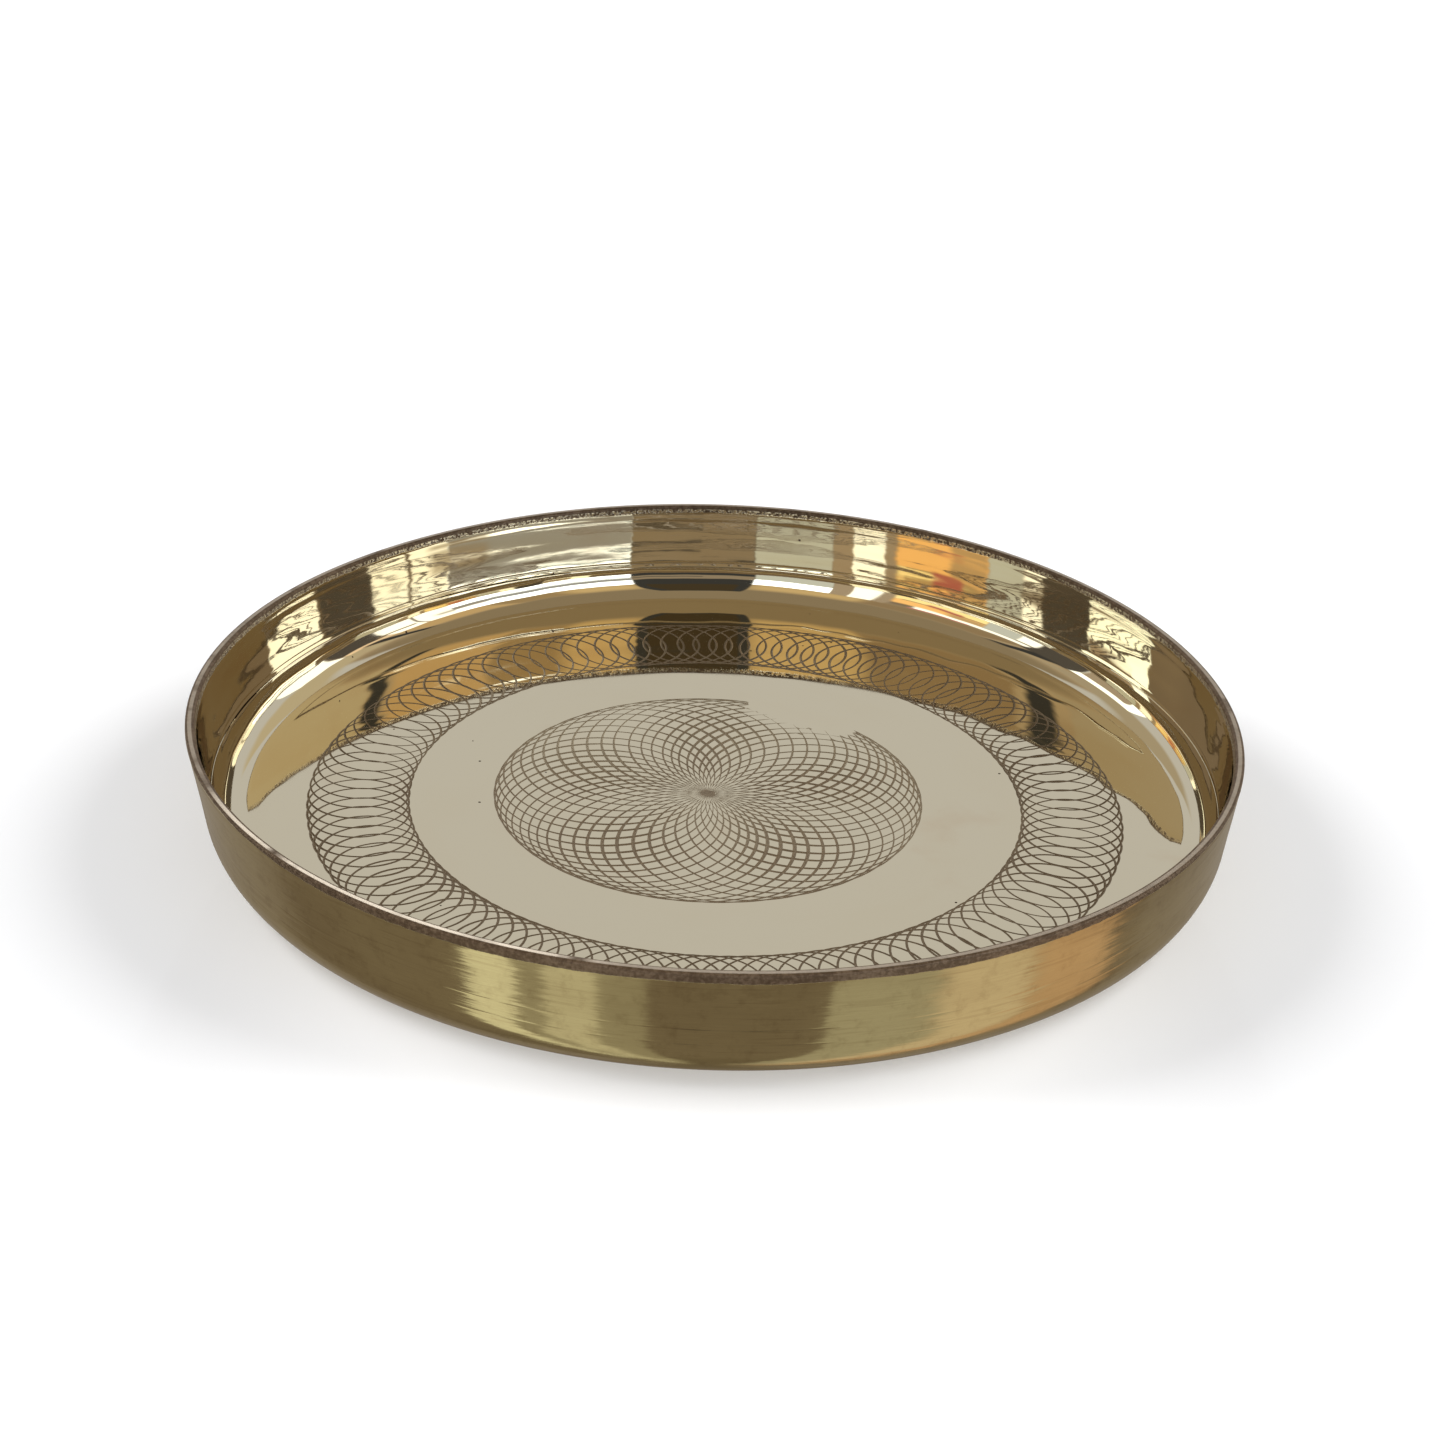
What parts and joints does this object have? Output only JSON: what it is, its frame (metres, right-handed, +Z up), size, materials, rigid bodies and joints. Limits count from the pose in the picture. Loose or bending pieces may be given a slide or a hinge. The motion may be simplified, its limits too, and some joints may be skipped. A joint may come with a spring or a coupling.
{
  "type": "offering plate",
  "caption": "Round shallow metal plate with a flat engraved floor, a coved corner and a steep straight wall with a plain rounded lip.",
  "frame": {"origin": "centre of the flat underside that the plate rests on", "axes": "+Z up along the plate's axis of turning, out of its open side"},
  "size_m": [0.3, 0.3, 0.034],
  "materials": {
    "polished_brass": "mirror polished inside, satin brushed outside, with a dark unpolished band round the lip"
  },
  "bodies": {
    "root": {"plate_body": "polished_brass"}
  },
  "joints": []
}
